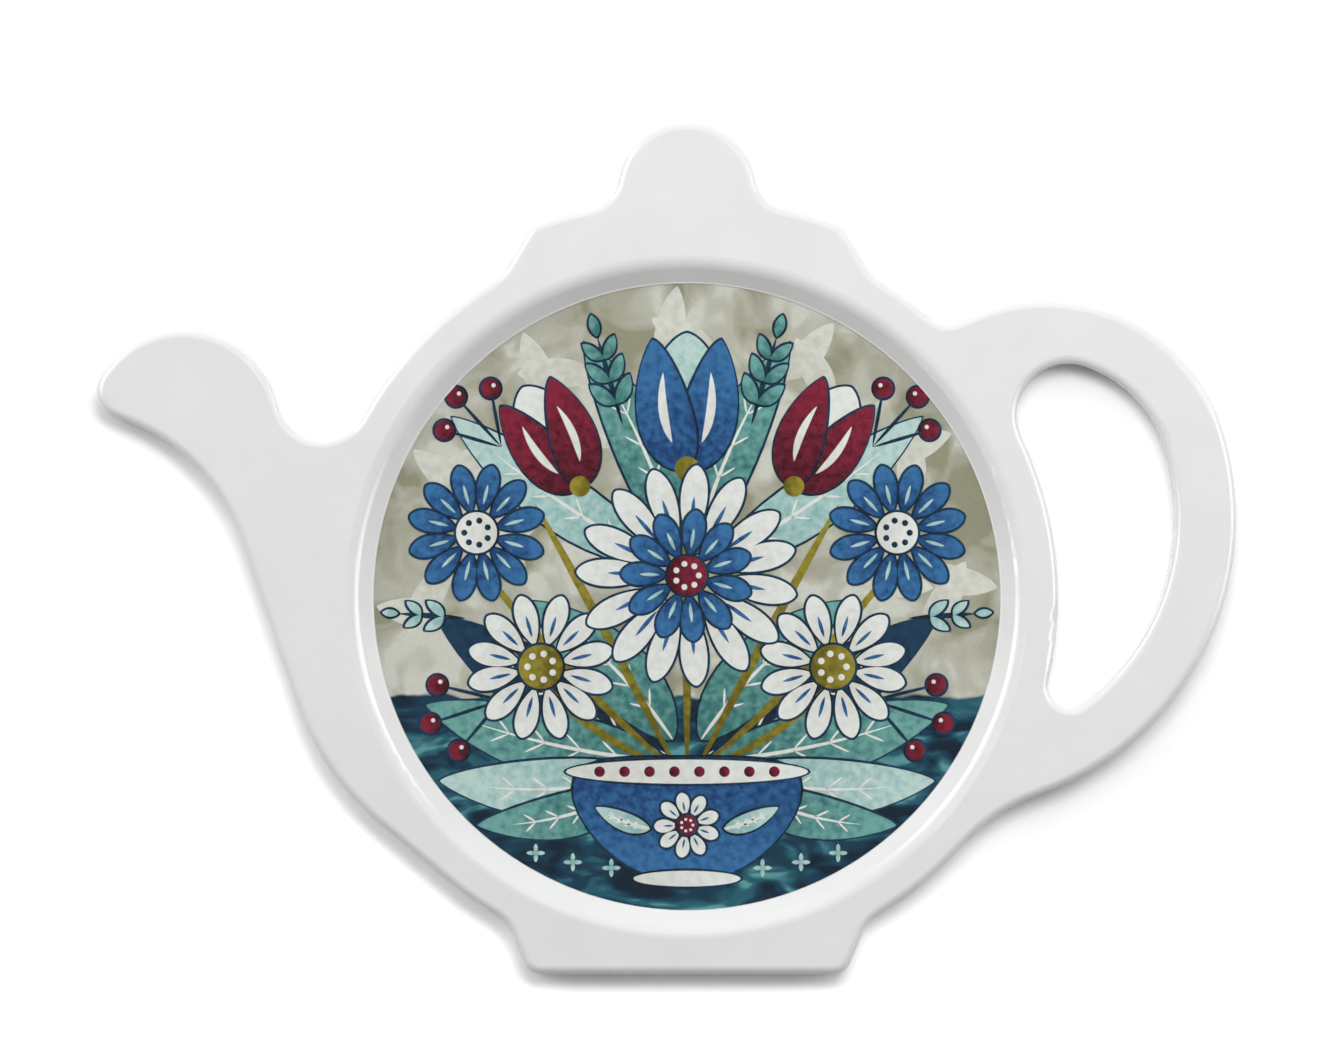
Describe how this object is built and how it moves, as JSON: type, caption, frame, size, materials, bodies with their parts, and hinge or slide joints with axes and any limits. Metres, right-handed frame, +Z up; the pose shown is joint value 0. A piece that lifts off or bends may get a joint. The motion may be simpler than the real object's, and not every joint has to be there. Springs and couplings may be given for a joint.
{
  "type": "tea bag rest",
  "caption": "Flat teapot-shaped rest with a shallow round well for a used tea bag, a spout, a lid with a knob and a looped handle.",
  "frame": {"origin": "on the table, at the middle of the flat foot under the round well", "axes": "+X from the spout to the handle, +Y from the teapot's base to its lid, +Z up from the table"},
  "size_m": [0.1595, 0.1194, 0.0048],
  "materials": {
    "white_melamine": "glossy",
    "printed_paper": "printed",
    "clear_melamine": "glossy"
  },
  "bodies": {
    "root": {"moulded_tray": "white_melamine", "printed_foil": "printed_paper", "clear_film": "clear_melamine"}
  },
  "joints": []
}
